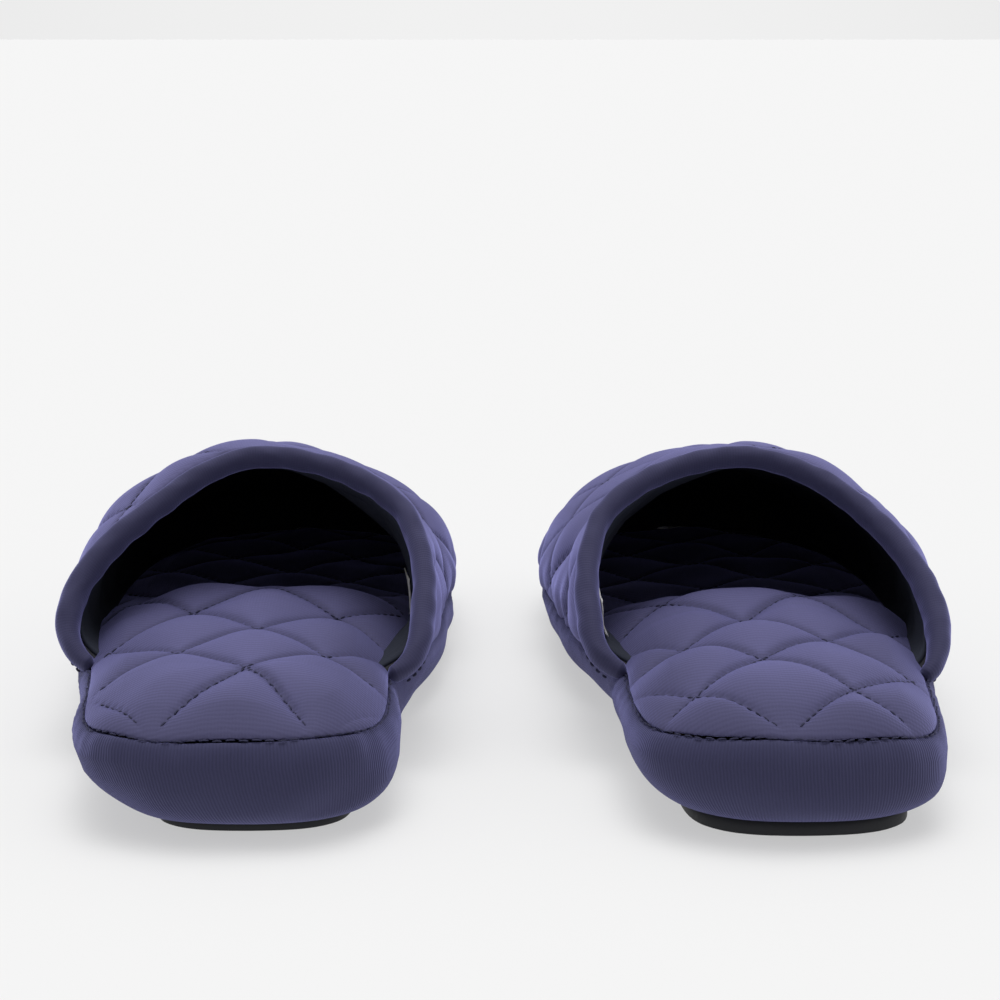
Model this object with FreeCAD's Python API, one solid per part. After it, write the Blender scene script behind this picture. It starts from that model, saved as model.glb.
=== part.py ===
import FreeCAD
import Part
import math
import os

from FreeCAD import Vector

# A pair of quilted, closed-toe, open-heel spa slippers, in millimetres.
# Each slipper is drawn as a right foot in its own frame: y runs from the back of
# the heel to the toe, +x is the outer (little toe) side and z is up from the floor.

# ---- Driving dimensions -------------------------------------------------------

# Widest line of the wrapped platform, counter-clockwise from the back of the heel.
OUTLINE = [
    (0.0, 0.0), (22.0, 3.6), (34.5, 14.0), (40.0, 35.0), (43.0, 60.0),
    (46.5, 82.0), (50.0, 112.0), (52.0, 150.0), (50.5, 190.0), (43.5, 226.0),
    (27.0, 255.0), (0.0, 269.0), (-26.0, 262.0), (-43.5, 240.0), (-51.5, 205.0),
    (-52.5, 165.0), (-49.5, 130.0), (-44.0, 102.0), (-40.0, 76.0), (-40.0, 35.0),
    (-34.5, 14.0), (-22.0, 3.6),
]

# Widest line of the upper, in the same order. Only its part in front of the collar is used.
UPPER_OUTLINE = [
    (0.0, -2.0), (24.0, 2.0), (38.0, 14.0), (45.0, 35.0), (48.0, 58.0),
    (51.0, 82.0), (53.5, 112.0), (55.6, 150.0), (54.0, 190.0), (46.5, 228.0),
    (29.0, 258.0), (0.0, 272.0), (-28.0, 265.0), (-46.5, 242.0), (-55.0, 207.0),
    (-56.0, 165.0), (-54.0, 130.0), (-51.5, 102.0), (-50.0, 80.0), (-49.0, 58.0),
    (-45.0, 35.0), (-38.0, 14.0), (-24.0, 2.0),
]
RING_POINTS = 30            # samples on each offset copy of an outline

HEEL_SEAM_HEIGHT = 27.0     # floor to the footbed seam at the heel
TOE_SEAM_HEIGHT = 17.0      # floor to the footbed seam at the toe
SLIPPER_LENGTH = 269.0

OUTSOLE_THICKNESS = 3.6
OUTSOLE_INSET = 9.0
OUTSOLE_DRAFT = 0.8         # its edge leans in this much, from the top down to the floor
TREAD_DEPTH = 0.8
TREAD_WIDTH = 1.6
TREAD_PITCH = 9.0
TREAD_START = 18.0          # heel to the first groove
TREAD_GROOVES = 26

# Platform wall from the floor up: (inset from the outline, share of wall height).
WALL_PROFILE = [(8.4, 0.0), (3.6, 0.13), (0.8, 0.36), (0.0, 0.58), (1.0, 0.83), (3.0, 1.0)]
WRAP_THICKNESS = 1.2
WRAP_UNDERLAP = 14.0        # how far the wrap is lasted in under the platform
BOARD_THICKNESS = 1.5
BOARD_INSET = 6.0

# Footbed cushion from its seam up: (inset from the outline, share of the crown).
CUSHION_PROFILE = [(3.0, 0.0), (2.4, 0.28), (5.0, 0.62), (12.0, 0.88), (24.0, 1.0)]
HEEL_CROWN = 11.5
TOE_CROWN = 6.0
COVER_THICKNESS = 1.6

# Upper: outer ridge line seen from the side, (y, height).
RIDGE = [(30.0, 79.5), (80.0, 79.5), (116.0, 77.5), (150.0, 71.5), (180.0, 65.0),
         (210.0, 59.5), (236.0, 52.0), (256.0, 41.5), (268.0, 31.0), (276.0, 20.0)]
WIDEST_SHARE = 0.36         # height of the widest line, as a share of the arch
UPPER_START = 42.0          # the upper's form is drawn from here to the toe
WIDEST_TO_EDGE = 3.0        # how far the arch draws in again down to its lower edge
WIDEST_TO_EDGE_SHARE = 0.3  # and at most this share of its half width, near the toe
OVERLAP = 5.0               # how far the upper laps down past the footbed seam
INSTEP_LEAN = 3.5           # the arch leans this far towards the inner side
SHELL_THICKNESS = 2.4
PADDING_THICKNESS = 3.4
LINING_THICKNESS = 1.4
LINING_LIFT = 3.0           # the lining starts this far above the footbed seam

# Collar: the slanted edge of the opening, from its low ends to the throat.
COLLAR_END = (57.0, 24.0)
COLLAR_THROAT = (115.0, 80.0)
COLLAR_WIDTH = 10.0
COLLAR_PROUD = 0.8
COLLAR_SKIN = 1.6

QUILT_PITCH = 38.0          # corner to corner of one quilted diamond
QUILT_MARGIN = 23.0         # inside the upper, the footbed is quilted up to this far from its edge
THREAD_THICKNESS = 0.8
THREAD_PROUD = 0.4          # how far the quilting stands on the fabric
LABEL_SIZE = (14.0, 11.0)   # along the foot, and up
LABEL_THICKNESS = 0.6
LABEL_START = 85.0          # heel to the label
LABEL_LIFT = 14.0           # footbed seam to the label

# Stance of the pair: side, x of the heel, turn from straight ahead in degrees.
STANCE = {"left": (-67.5, 1.0), "right": (67.5, 1.6)}

# ---- Derived values -----------------------------------------------------------

UPPER_THICKNESS = SHELL_THICKNESS + PADDING_THICKNESS + LINING_THICKNESS
ARCH_STEPS = 8
CURVE_STEPS = 600           # short straight steps along a curve, to find its crossings
HALF_SPAN = 90.0            # wider than half of one slipper, for cutting tools
TALL = 120.0                # higher than the slipper, for cutting tools
TOE_FLAT = 1.2              # the rounded toe ends in a flat this far short of its tip
# Places of the upper's sections, from its start to its toe, closer together where it rounds off.
SECTION_SHARES = (0.0, 0.22, 0.42, 0.58, 0.7, 0.8, 0.88, 0.94, 0.98, 1.0)


def seam_height(y):
    """Floor to the seam between platform and footbed."""
    drop = (HEEL_SEAM_HEIGHT - TOE_SEAM_HEIGHT) / SLIPPER_LENGTH
    return HEEL_SEAM_HEIGHT - drop * y


def crown(y):
    """Height of the footbed cushion above its seam."""
    return HEEL_CROWN - (HEEL_CROWN - TOE_CROWN) * y / SLIPPER_LENGTH


def periodic_spline(points):
    curve = Part.BSplineCurve()
    curve.interpolate(Points=points, PeriodicFlag=True)
    return curve


OUTLINE_CURVE = periodic_spline([Vector(x, y, 0) for x, y in OUTLINE])
UPPER_CURVE = periodic_spline([Vector(x, y, 0) for x, y in UPPER_OUTLINE])


def offset_points(curve, inset):
    """Points of a closed curve moved inwards by the inset."""
    first = curve.FirstParameter
    span = curve.LastParameter - first
    points = []
    for index in range(RING_POINTS):
        parameter = first + span * index / RING_POINTS
        point = curve.value(parameter)
        tangent = curve.tangent(parameter)[0]
        points.append(Vector(point.x - tangent.y * inset, point.y + tangent.x * inset, 0))
    return points


def ring(inset, height):
    """A closed copy of the outline, inset, at a height that depends on y."""
    points = [Vector(p.x, p.y, height(p.y)) for p in offset_points(OUTLINE_CURVE, inset)]
    return Part.Wire(periodic_spline(points).toShape())


def stack(rings):
    """A solid through closed rings, from the lowest to the highest."""
    return Part.makeLoft(rings, True, False)


# ---- Sole ---------------------------------------------------------------------

def make_outsole():
    bottom = ring(OUTSOLE_INSET + OUTSOLE_DRAFT, lambda y: 0.0)
    top = ring(OUTSOLE_INSET, lambda y: OUTSOLE_THICKNESS)
    sole = stack([bottom, top])
    grooves = []
    for index in range(TREAD_GROOVES):
        corner = Vector(-HALF_SPAN, TREAD_START + index * TREAD_PITCH, -TREAD_DEPTH)
        grooves.append(Part.makeBox(2 * HALF_SPAN, TREAD_WIDTH, 2 * TREAD_DEPTH, corner))
    return sole.cut(Part.makeCompound(grooves))


def platform_solid(skin):
    """The platform's outer shape, drawn in by the thickness of a skin."""
    rings = []
    for inset, share in WALL_PROFILE:
        rings.append(ring(inset + skin, lambda y, s=share: platform_level(y, s, skin)))
    return stack(rings)


def platform_level(y, share, skin):
    low = OUTSOLE_THICKNESS + skin
    return low + (seam_height(y) - low) * share


def make_platform():
    """Returns the fabric wrap, the foam core and the insole board."""
    outer = platform_solid(0.0)
    inner = platform_solid(WRAP_THICKNESS)
    margin = ring(OUTSOLE_INSET + WRAP_UNDERLAP, lambda y: OUTSOLE_THICKNESS)
    margin_top = ring(OUTSOLE_INSET + WRAP_UNDERLAP, lambda y: OUTSOLE_THICKNESS + 2 * WRAP_THICKNESS)
    filled = inner.fuse(stack([margin, margin_top]))
    wrap = outer.cut(filled)
    board = stack([
        ring(BOARD_INSET, lambda y: seam_height(y) - BOARD_THICKNESS),
        ring(BOARD_INSET, seam_height),
    ])
    foam = filled.cut(board)
    return wrap, foam, board


# ---- Footbed ------------------------------------------------------------------

def cushion_solid(skin):
    """The footbed cushion's outer shape, drawn in by the thickness of a skin."""
    rings = []
    for inset, share in CUSHION_PROFILE:
        rings.append(ring(inset + skin, lambda y, s=share: cushion_level(y, s, skin)))
    return stack(rings)


def cushion_level(y, share, skin):
    return seam_height(y) + share * (crown(y) - skin)


def quilt_walls():
    """Upright sheets on the diamond grid, taller than the slipper."""
    past_toe = math.ceil(SLIPPER_LENGTH / QUILT_PITCH) + 2
    walls = []
    for turn in (45.0, -45.0):
        for index in range(-1, past_toe):
            wall = Part.makeBox(4 * HALF_SPAN, THREAD_THICKNESS, TALL)
            wall.translate(Vector(-2 * HALF_SPAN, -THREAD_THICKNESS / 2, 0))
            wall.rotate(Vector(0, 0, 0), Vector(0, 0, 1), turn)
            wall.translate(Vector(0, index * QUILT_PITCH, 0))
            walls.append(wall)
    return walls[0].fuse(walls[1:])


def quilt_thread(solid_above, solid):
    """The grid of stitching that lies on a quilted solid, up to a slightly larger one."""
    return solid_above.common(quilt_walls()).cut(solid)


def make_footbed():
    """Returns the cover, the padding and the quilting thread."""
    outer = cushion_solid(0.0)
    inner = cushion_solid(COVER_THICKNESS)
    thread = quilt_thread(cushion_solid(-THREAD_PROUD), outer)
    return outer.cut(inner), inner, thread


def make_edge_thread():
    """The row of stitching all round the footbed seam."""
    inset = CUSHION_PROFILE[0][0]
    half = THREAD_THICKNESS / 2

    def low(y):
        return seam_height(y) - half

    def high(y):
        return seam_height(y) + half

    outside = stack([ring(inset - half, low), ring(inset - half, high)])
    inside = stack([ring(inset + half, low), ring(inset + half, high)])
    return outside.cut(inside)


# ---- Upper --------------------------------------------------------------------

def crossings(points, y):
    """Where the line through the points passes y, as (x, z) pairs."""
    found = []
    for here, after in zip(points, points[1:]):
        if (here.y - y) * (after.y - y) <= 0 and here.y != after.y:
            share = (y - here.y) / (after.y - here.y)
            found.append((here.x + share * (after.x - here.x), here.z + share * (after.z - here.z)))
    return found


RIDGE_CURVE = Part.BSplineCurve()
RIDGE_CURVE.interpolate([Vector(0, y, z) for y, z in RIDGE])
RIDGE_POINTS = RIDGE_CURVE.discretize(Number=CURVE_STEPS)


def ridge_height(y):
    return crossings(RIDGE_POINTS, y)[0][1]


def arch_section(y, inset, plan):
    """Closed section of the upper at y, drawn in by the inset, above its plan outline."""
    sides = [x for x, _ in crossings(plan, y)]
    left, right = min(sides), max(sides)
    base = seam_height(y) - OVERLAP
    top = ridge_height(y) - inset
    widest = base + (top - base) * WIDEST_SHARE
    middle = (left + right) / 2
    reach = (right - left) / 2
    draw_in = min(WIDEST_TO_EDGE, reach * WIDEST_TO_EDGE_SHARE)
    points = [Vector(right - draw_in, y, base)]
    for step in range(ARCH_STEPS + 1):
        angle = math.pi * step / ARCH_STEPS
        rise = math.sin(angle)
        x = middle - INSTEP_LEAN * rise + reach * math.cos(angle)
        points.append(Vector(x, y, widest + (top - widest) * rise))
    points.append(Vector(left + draw_in, y, base))
    arch = Part.BSplineCurve()
    arch.interpolate(points)
    floor = Part.LineSegment(points[-1], points[0])
    return Part.Wire([arch.toShape(), floor.toShape()])


def upper_solid(inset):
    """Filled form of the upper, drawn in by the inset."""
    plan = periodic_spline(offset_points(UPPER_CURVE, inset)).discretize(Number=CURVE_STEPS)
    toe = max(p.y for p in plan) - TOE_FLAT
    stations = [UPPER_START + (toe - UPPER_START) * share for share in SECTION_SHARES]
    return Part.makeLoft([arch_section(y, inset, plan) for y in stations], True, False)


def in_front_of_collar(distance):
    """Everything that lies further forward than the collar line by the distance."""
    run = COLLAR_THROAT[0] - COLLAR_END[0]
    rise = COLLAR_THROAT[1] - COLLAR_END[1]
    length = math.hypot(run, rise)
    shift_y = rise / length * distance
    shift_z = -run / length * distance
    low = Vector(-HALF_SPAN, COLLAR_END[0] - run + shift_y, COLLAR_END[1] - rise + shift_z)
    high = Vector(-HALF_SPAN, COLLAR_THROAT[0] + run + shift_y, COLLAR_THROAT[1] + rise + shift_z)
    far = 2 * SLIPPER_LENGTH
    corners = [low, high, Vector(-HALF_SPAN, far, high.z), Vector(-HALF_SPAN, far, low.z), low]
    return Part.Face(Part.makePolygon(corners)).extrude(Vector(2 * HALF_SPAN, 0, 0))


def above_seam(distance):
    """Everything that lies higher than the footbed seam by the distance."""
    near, far = -TALL, 2 * SLIPPER_LENGTH
    low = Vector(-HALF_SPAN, near, seam_height(near) + distance)
    low_far = Vector(-HALF_SPAN, far, seam_height(far) + distance)
    corners = [low, low_far, Vector(-HALF_SPAN, far, TALL), Vector(-HALF_SPAN, near, TALL), low]
    return Part.Face(Part.makePolygon(corners)).extrude(Vector(2 * HALF_SPAN, 0, 0))


def under_upper_edge():
    """The border of the footbed that the upper stands on, where no quilting shows."""
    middle = stack([ring(QUILT_MARGIN, lambda y: 0.0), ring(QUILT_MARGIN, lambda y: TALL)])
    return in_front_of_collar(-THREAD_THICKNESS).cut(middle)


def make_upper(sole_and_footbed):
    """Returns every piece of the upper, by name."""
    depths = {
        "proud": -COLLAR_PROUD,
        "face": 0.0,
        "stitched": -THREAD_PROUD,
        "ditch": THREAD_THICKNESS,
        "under_shell": SHELL_THICKNESS,
        "under_padding": SHELL_THICKNESS + PADDING_THICKNESS,
        "inside": UPPER_THICKNESS,
        "collar_inside": UPPER_THICKNESS + COLLAR_PROUD,
        "label_inside": UPPER_THICKNESS + LABEL_THICKNESS,
        "core_face": COLLAR_SKIN,
        "core_inside": UPPER_THICKNESS - COLLAR_SKIN,
    }
    form = {name: upper_solid(depth).cut(sole_and_footbed) for name, depth in depths.items()}

    collar_back = in_front_of_collar(0.0)
    collar_front = in_front_of_collar(COLLAR_WIDTH)
    collar_zone = collar_back.cut(collar_front)
    core_zone = in_front_of_collar(COLLAR_SKIN).cut(in_front_of_collar(COLLAR_WIDTH - COLLAR_SKIN))
    ditch_zone = collar_front.cut(in_front_of_collar(COLLAR_WIDTH + THREAD_THICKNESS))

    ditch = ditch_zone.common(form["face"]).cut(form["ditch"])
    quilted_zone = in_front_of_collar(COLLAR_WIDTH + 2 * THREAD_THICKNESS)
    thread = quilt_thread(form["stitched"].common(quilted_zone), form["face"])
    core = form["core_face"].cut(form["core_inside"]).common(core_zone)
    collar = form["proud"].cut(form["collar_inside"]).common(collar_zone).cut(core)
    shell = form["face"].cut(form["under_shell"]).common(collar_front).cut(ditch)
    padding = form["under_shell"].cut(form["under_padding"]).common(collar_front)
    lining_zone = collar_front.common(above_seam(LINING_LIFT))
    lining = form["under_padding"].cut(form["inside"]).common(lining_zone)

    length, height = LABEL_SIZE
    corner = Vector(-HALF_SPAN, LABEL_START, seam_height(LABEL_START) + LABEL_LIFT)
    window = Part.makeBox(HALF_SPAN, length, height, corner)
    label = form["inside"].cut(form["label_inside"]).common(window).common(collar_front)
    return {
        "upper_shell": shell,
        "upper_padding": padding,
        "upper_lining": lining,
        "upper_quilt_thread": thread,
        "collar_binding": collar,
        "collar_core": core,
        "collar_seam_thread": ditch,
        "care_label": label,
    }


# ---- One slipper and the pair -------------------------------------------------

def make_slipper():
    """Every piece of one right slipper, by name."""
    wrap, foam, board = make_platform()
    cover, padding, footbed_thread = make_footbed()
    edge_thread = make_edge_thread()
    whole_platform = platform_solid(0.0)
    whole_cushion = cushion_solid(0.0)
    pieces = {
        "outsole": make_outsole(),
        "platform_foam": foam.cut(edge_thread),
        "platform_wrap": wrap.cut(edge_thread),
        "insole_board": board,
        "footbed_padding": padding,
        "footbed_cover": cover.cut(edge_thread),
        "footbed_quilt_thread": footbed_thread.cut([edge_thread, under_upper_edge()]),
        "footbed_edge_thread": edge_thread,
    }
    pieces.update(make_upper(whole_platform.fuse([whole_cushion, edge_thread])))
    return pieces


def place(shape, side):
    """Moves a piece of the right slipper to its place in the pair."""
    heel_x, turn = STANCE[side]
    placed = shape.copy()
    if side == "left":
        placed = placed.mirror(Vector(0, 0, 0), Vector(1, 0, 0))
    placed.rotate(Vector(0, 0, 0), Vector(0, 0, 1), turn)
    placed.translate(Vector(heel_x, 0, 0))
    return placed


def make_pair():
    slipper = make_slipper()
    pair = {}
    for side in STANCE:
        for name, shape in slipper.items():
            pair[side + "_" + name] = place(shape, side)
    box = Part.makeCompound(list(pair.values())).optimalBoundingBox(False)
    for shape in pair.values():
        shape.translate(Vector(-box.Center.x, -box.Center.y, -box.ZMin))
    return pair


os.makedirs("parts", exist_ok=True)
for node, solid in make_pair().items():
    print(node, len(solid.Solids), "solid(s),", round(solid.Volume), "mm3, valid", solid.isValid())
    solid.exportStep("parts/" + node + ".step")
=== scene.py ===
import math

import bpy
import numpy as np
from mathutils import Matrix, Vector
from mathutils.kdtree import KDTree


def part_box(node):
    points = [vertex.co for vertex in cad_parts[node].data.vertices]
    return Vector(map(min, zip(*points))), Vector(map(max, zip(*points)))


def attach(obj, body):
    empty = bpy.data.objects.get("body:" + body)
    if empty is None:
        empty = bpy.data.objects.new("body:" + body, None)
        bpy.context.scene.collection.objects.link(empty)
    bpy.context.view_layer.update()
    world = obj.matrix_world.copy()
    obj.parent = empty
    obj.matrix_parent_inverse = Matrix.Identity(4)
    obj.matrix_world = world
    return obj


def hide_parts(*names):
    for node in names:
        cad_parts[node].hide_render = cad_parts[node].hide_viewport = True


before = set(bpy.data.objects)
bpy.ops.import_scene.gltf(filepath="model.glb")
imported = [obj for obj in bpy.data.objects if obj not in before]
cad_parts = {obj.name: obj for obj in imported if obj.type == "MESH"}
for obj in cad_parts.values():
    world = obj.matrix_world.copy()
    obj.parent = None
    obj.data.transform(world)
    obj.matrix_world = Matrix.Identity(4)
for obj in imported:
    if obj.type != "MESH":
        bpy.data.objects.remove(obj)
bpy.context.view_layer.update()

# A pair of quilted spa slippers. Shapes are worked out in millimetres in one slipper's own
# frame: y from the back of the heel to the toe, +x to the outer side, z up from the floor,
# drawn as a right foot. to_pair() then mirrors, turns and moves them into the frame, in metres.

MM = 0.001

# ---- Driving dimensions, as the frame was designed --------------------------------------

# widest line of the platform, and of the upper, counter-clockwise from the back of the heel
OUTLINE = [
    (0.0, 0.0), (22.0, 3.6), (34.5, 14.0), (40.0, 35.0), (43.0, 60.0),
    (46.5, 82.0), (50.0, 112.0), (52.0, 150.0), (50.5, 190.0), (43.5, 226.0),
    (27.0, 255.0), (0.0, 269.0), (-26.0, 262.0), (-43.5, 240.0), (-51.5, 205.0),
    (-52.5, 165.0), (-49.5, 130.0), (-44.0, 102.0), (-40.0, 76.0), (-40.0, 35.0),
    (-34.5, 14.0), (-22.0, 3.6),
]
UPPER_OUTLINE = [
    (0.0, -2.0), (24.0, 2.0), (38.0, 14.0), (45.0, 35.0), (48.0, 58.0),
    (50.0, 82.0), (52.6, 112.0), (54.8, 150.0), (53.2, 190.0), (45.5, 228.0),
    (28.0, 257.0), (0.0, 270.5), (-28.0, 264.0), (-45.5, 241.0), (-52.4, 207.0),
    (-52.3, 165.0), (-48.8, 130.0), (-48.0, 102.0), (-48.2, 80.0), (-47.0, 58.0),
    (-44.0, 35.0), (-37.0, 14.0), (-24.0, 2.0),
]
# along the foot: top of the upper, height of its widest line, rise of the footbed from its seam
RIDGE = [(30.0, 76.0), (80.0, 76.0), (116.0, 75.5), (150.0, 69.5), (180.0, 63.5),
         (210.0, 57.5), (236.0, 50.0), (256.0, 40.0), (268.0, 30.0), (276.0, 20.0)]
WIDEST_HEIGHT = [(30.0, 37.0), (82.0, 36.0), (115.0, 31.0), (150.0, 23.0), (220.0, 20.0), (275.0, 16.0)]
CROWN = [(0.0, 8.2), (18.0, 8.6), (40.0, 9.3), (55.0, 9.7), (95.0, 10.6), (110.0, 10.6), (119.0, 8.4),
         (132.0, 2.6), (148.0, 0.6), (269.0, 0.6)]
CREST = 108.0               # the footbed is highest here, and falls off further in
CREST_LIFT = 1.2
CREST_LENGTH = 16.0
CREST_SHIFT = {"left": 2.0, "right": -6.0}
LENGTH = 269.0
RIB_PITCH = 0.85
PERIMETER = RIB_PITCH * 770
HEEL_SEAM = 27.0            # floor to the footbed's seam, at the heel and at the toe
TOE_SEAM = 17.0
OUTSOLE_TOP = {"left": 2.6, "right": 3.6}
OUTSOLE_INSET = {"left": 15.5, "right": 12.0}
TREAD_PITCH = 9.0
TREAD_DEPTH = 0.8
# inset from the widest line and share of the wall's height, from the underside to the seam
WALL_PROFILE = [(26.0, 0.0), (14.0, 0.0), (11.4, 0.012), (6.8, 0.10), (3.4, 0.25), (1.1, 0.46), (0.0, 0.70),
                (0.8, 0.89), (2.5, 0.995), (3.5, 0.99), (7.0, 0.93)]
UNDER_SHIFT = {"left": 4.5, "right": 2.6}     # the underside lies this far to the pair's right
UNDER_INSET = {"left": 2.3, "right": 1.0}     # and is drawn in this much more
WRAP_THICKNESS = 1.2
FOAM_GAP = 0.9              # the foam stays this far inside the wrap
SEAM_INSET = 3.4            # widest line of the platform to the footbed's seam
FOOT_INSET = 0.9            # and to the lower edge of the upper
LEAN = 5.5                  # the collar leans this far to the inner side
OUTER_SPREAD = {"left": 1.8, "right": -1.0}        # the outer side stands out by this beside the collar
OUTER_SHOULDER = {"left": 1.5, "right": 1.2}       # below 1 is a square shoulder, above 1 a sloping one
INNER_SHOULDER = 0.7
VAMP_SHOULDER = {"left": 1.08, "right": 1.25}      # the same, in front of the collar
SHELL = 2.2
UPPER_THICKNESS = 6.0
COLLAR_END = (57.0, 24.0)          # y and z of the opening's low ends
COLLAR_THROAT = (115.0, 80.0)      # and of its top
COLLAR_RUN = COLLAR_THROAT[0] - COLLAR_END[0]
COLLAR_RISE = COLLAR_THROAT[1] - COLLAR_END[1]
COLLAR_SLANT = math.hypot(COLLAR_RUN, COLLAR_RISE)
COLLAR_WIDTH = 9.6
COLLAR_SLIM = 0.24          # the roll is this share narrower at the throat than at its ends
COLLAR_DEPTH = 6.8
COLLAR_SKEW = {"left": (8.0, -6.0), "right": (-7.0, 0.0)}     # outer and inner end, along the foot
TURN = {"left": 1.0, "right": 1.6}      # degrees, seen from above
PAIR_RIGHT = {"left": -1.0, "right": 1.0}     # +x of the slipper's own frame, in the pair's frame
BODY = {"left": "left_slipper", "right": "right_slipper"}
SEED = {"left": 11, "right": 29}


# ---- Curves -----------------------------------------------------------------------------

def closed_curve(points, count):
    """Evenly spaced points of the periodic cubic spline through the given ones."""
    knots = np.array(points)
    total = len(knots)
    steps = np.linalg.norm(np.roll(knots, -1, axis=0) - knots, axis=1)
    before = np.roll(steps, 1)
    matrix = np.zeros((total, total))
    rows = np.arange(total)
    matrix[rows, rows] = 2 * (before + steps)
    matrix[rows, (rows - 1) % total] = before
    matrix[rows, (rows + 1) % total] = steps
    slopes = (np.roll(knots, -1, axis=0) - knots) / steps[:, None]
    bends = np.linalg.solve(matrix, 6 * (slopes - np.roll(slopes, 1, axis=0)))
    fine = []
    for index in range(total):
        after = (index + 1) % total
        span = steps[index]
        t = np.linspace(0, span, 200, endpoint=False)[:, None]
        fine.append(
            bends[index] * (span - t) ** 3 / (6 * span) + bends[after] * t ** 3 / (6 * span)
            + (knots[index] / span - bends[index] * span / 6) * (span - t)
            + (knots[after] / span - bends[after] * span / 6) * t)
    fine = np.concatenate(fine)
    loop = np.vstack([fine, fine[:1]])
    lengths = np.concatenate([[0], np.cumsum(np.linalg.norm(np.diff(loop, axis=0), axis=1))])
    wanted = np.linspace(0, lengths[-1], count, endpoint=False)
    return np.column_stack([np.interp(wanted, lengths, loop[:, k]) for k in (0, 1)])


def inward(loop):
    """Unit normals that point into a counter-clockwise loop."""
    along = np.roll(loop, -1, axis=0) - np.roll(loop, 1, axis=0)
    along /= np.linalg.norm(along, axis=1)[:, None]
    return np.column_stack([-along[:, 1], along[:, 0]])


def smooth_path(points, count):
    """Even samples of a smooth open curve through a few points (Catmull-Rom)."""
    p = np.array(points, dtype=float)
    p = np.vstack([2 * p[0] - p[1], p, 2 * p[-1] - p[-2]])
    fine = []
    for a, b, c, d in zip(p, p[1:], p[2:], p[3:]):
        t = np.linspace(0, 1, 60, endpoint=False)[:, None]
        fine.append(0.5 * (2 * b + (c - a) * t + (2 * a - 5 * b + 4 * c - d) * t ** 2
                           + (3 * b - a - 3 * c + d) * t ** 3))
    fine = np.vstack(fine + [p[-2:-1]])
    lengths = np.concatenate([[0], np.cumsum(np.linalg.norm(np.diff(fine, axis=0), axis=1))])
    wanted = np.linspace(0, lengths[-1], count)
    return np.column_stack([np.interp(wanted, lengths, fine[:, k]) for k in range(p.shape[1])])


def waves(x, y, wavelength, seed):
    """Smooth seeded unevenness, about -1 to 1."""
    rng = np.random.default_rng(seed)
    total = np.zeros_like(x, dtype=float)
    for _ in range(7):
        heading = rng.uniform(0, 2 * math.pi)
        phase = rng.uniform(0, 2 * math.pi)
        size = 2 * math.pi / (wavelength * rng.uniform(0.7, 1.5))
        total += np.sin(size * (x * math.cos(heading) + y * math.sin(heading)) + phase)
    return total / 3.0


def table(pairs, y):
    return np.interp(y, [pair[0] for pair in pairs], [pair[1] for pair in pairs])


def round_waves(share, across, wavelength, seed):
    """Unevenness along a closed loop of the outline's length; share runs 0 to 1 round it."""
    radius = PERIMETER / (2 * math.pi)
    turn = 2 * math.pi * share
    return waves(radius * np.cos(turn) + across, radius * np.sin(turn) - across, wavelength, seed)


def seam_height(y):
    return HEEL_SEAM - (HEEL_SEAM - TOE_SEAM) * y / LENGTH


def seam_dip(side, x, y):
    """The footbed seam hangs a little lower at the corners of the heel."""
    outer = {"left": 0.8, "right": 3.2}[side]
    inner = {"left": 2.2, "right": 1.2}[side]
    corner = np.where(x > 0, outer, inner)
    wobble = 0.5 * waves(x, y, 30.0, SEED[side] + 21)
    at_heel = np.exp(-(np.maximum(y, 0) / 34.0) ** 2)
    return -corner * np.clip(np.abs(x) / 32.0, 0, 1.2) ** 3 * at_heel + wobble


def seam_z(side, x, y):
    return seam_height(y) + seam_dip(side, x, y)


# ---- From the slipper's own frame into the pair's frame -----------------------------------

def turned(side, x, y):
    sign = PAIR_RIGHT[side]
    angle = math.radians(TURN[side])
    return (sign * x * math.cos(angle) - y * math.sin(angle),
            sign * x * math.sin(angle) + y * math.cos(angle))


def heel_place(side):
    """Where the slipper's origin lies, from the frame's box of its platform."""
    loop = closed_curve(OUTLINE, 1200)
    x, y = turned(side, loop[:, 0], loop[:, 1])
    low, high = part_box(side + "_platform_wrap")
    middle_x = (low[0] + high[0]) / 2 / MM
    middle_y = (low[1] + high[1]) / 2 / MM
    return middle_x - (x.min() + x.max()) / 2, middle_y - (y.min() + y.max()) / 2


HEEL_PLACE = {side: heel_place(side) for side in TURN}


def to_pair(side, points):
    points = np.asarray(points, dtype=float)
    x, y = turned(side, points[:, 0], points[:, 1])
    place = HEEL_PLACE[side]
    return np.column_stack([x + place[0], y + place[1], points[:, 2]]) * MM


# ---- Mesh helpers -----------------------------------------------------------------------

def make_piece(name, side, points, faces, cloth=None):
    """A smooth-shaded object; cloth is its place on the fabric in millimetres, and how much shade is
    painted into its colour.
    """
    mesh = bpy.data.meshes.new(name)
    faces = [face[::-1] if side == "left" else face for face in map(list, faces)]
    mesh.from_pydata(to_pair(side, points).tolist(), [], faces)
    mesh.validate()
    if cloth is not None:
        attribute = mesh.attributes.new("cloth", "FLOAT_VECTOR", "POINT")
        attribute.data.foreach_set("vector", np.asarray(cloth, dtype=np.float32).ravel())
    mesh.polygons.foreach_set("use_smooth", [True] * len(mesh.polygons))
    piece = bpy.data.objects.new(name, mesh)
    bpy.context.scene.collection.objects.link(piece)
    return piece


def grid_faces(rows, columns, start=0, close_rows=False, close_columns=False, flip=False):
    """Quads of a rows x columns grid of points numbered row by row."""
    number = np.arange(rows * columns).reshape(rows, columns) + start
    if close_rows:
        number = np.vstack([number, number[:1]])
    if close_columns:
        number = np.hstack([number, number[:, :1]])
    quads = np.stack([number[:-1, :-1], number[:-1, 1:], number[1:, 1:], number[1:, :-1]], axis=-1)
    quads = quads.reshape(-1, 4)
    return quads[:, ::-1] if flip else quads


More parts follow.
